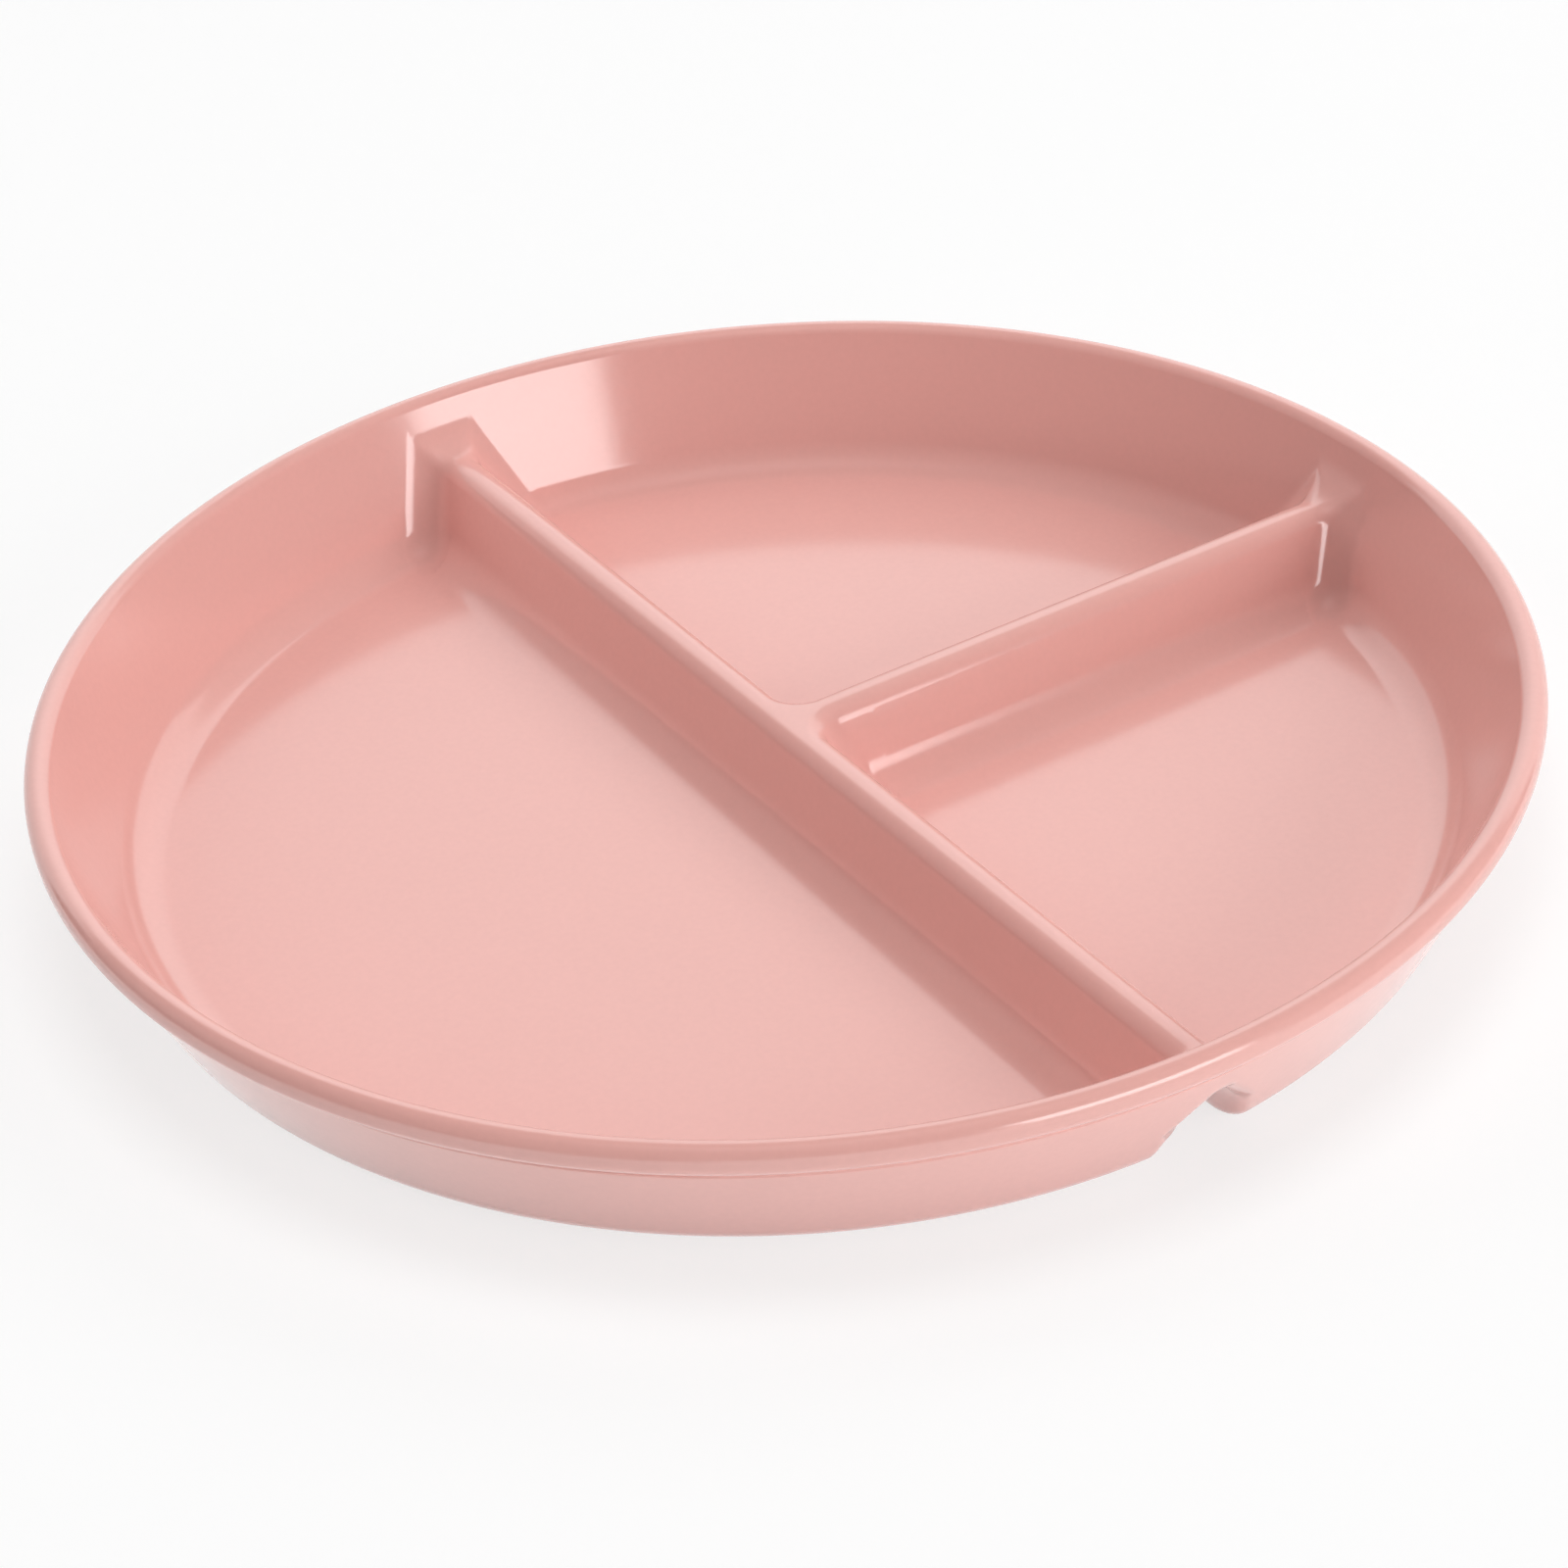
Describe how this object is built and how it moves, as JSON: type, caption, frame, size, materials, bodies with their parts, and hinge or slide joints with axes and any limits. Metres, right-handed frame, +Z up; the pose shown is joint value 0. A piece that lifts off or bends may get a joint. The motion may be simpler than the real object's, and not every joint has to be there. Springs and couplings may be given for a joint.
{
  "type": "compartment plate",
  "caption": "Round gloss plate with a rolled rim, leaning outer wall and hollow moulded dividers that part a large half compartment from small quarter ones.",
  "frame": {"origin": "centre of the plate on the surface that it stands on", "axes": "+Z up out of the plate, X along the long divider, +Y along the short divider, large compartment towards -Y"},
  "size_m": [0.254, 0.254, 0.0276],
  "materials": {
    "gloss_pink": "satin gloss moulded melamine, salmon pink"
  },
  "bodies": {
    "root": {"rim_bead": "gloss_pink", "large_wall": "gloss_pink", "left_wall": "gloss_pink", "right_wall": "gloss_pink", "large_floor": "gloss_pink", "left_floor": "gloss_pink", "right_floor": "gloss_pink", "long_divider": "gloss_pink", "short_divider": "gloss_pink"}
  },
  "joints": []
}
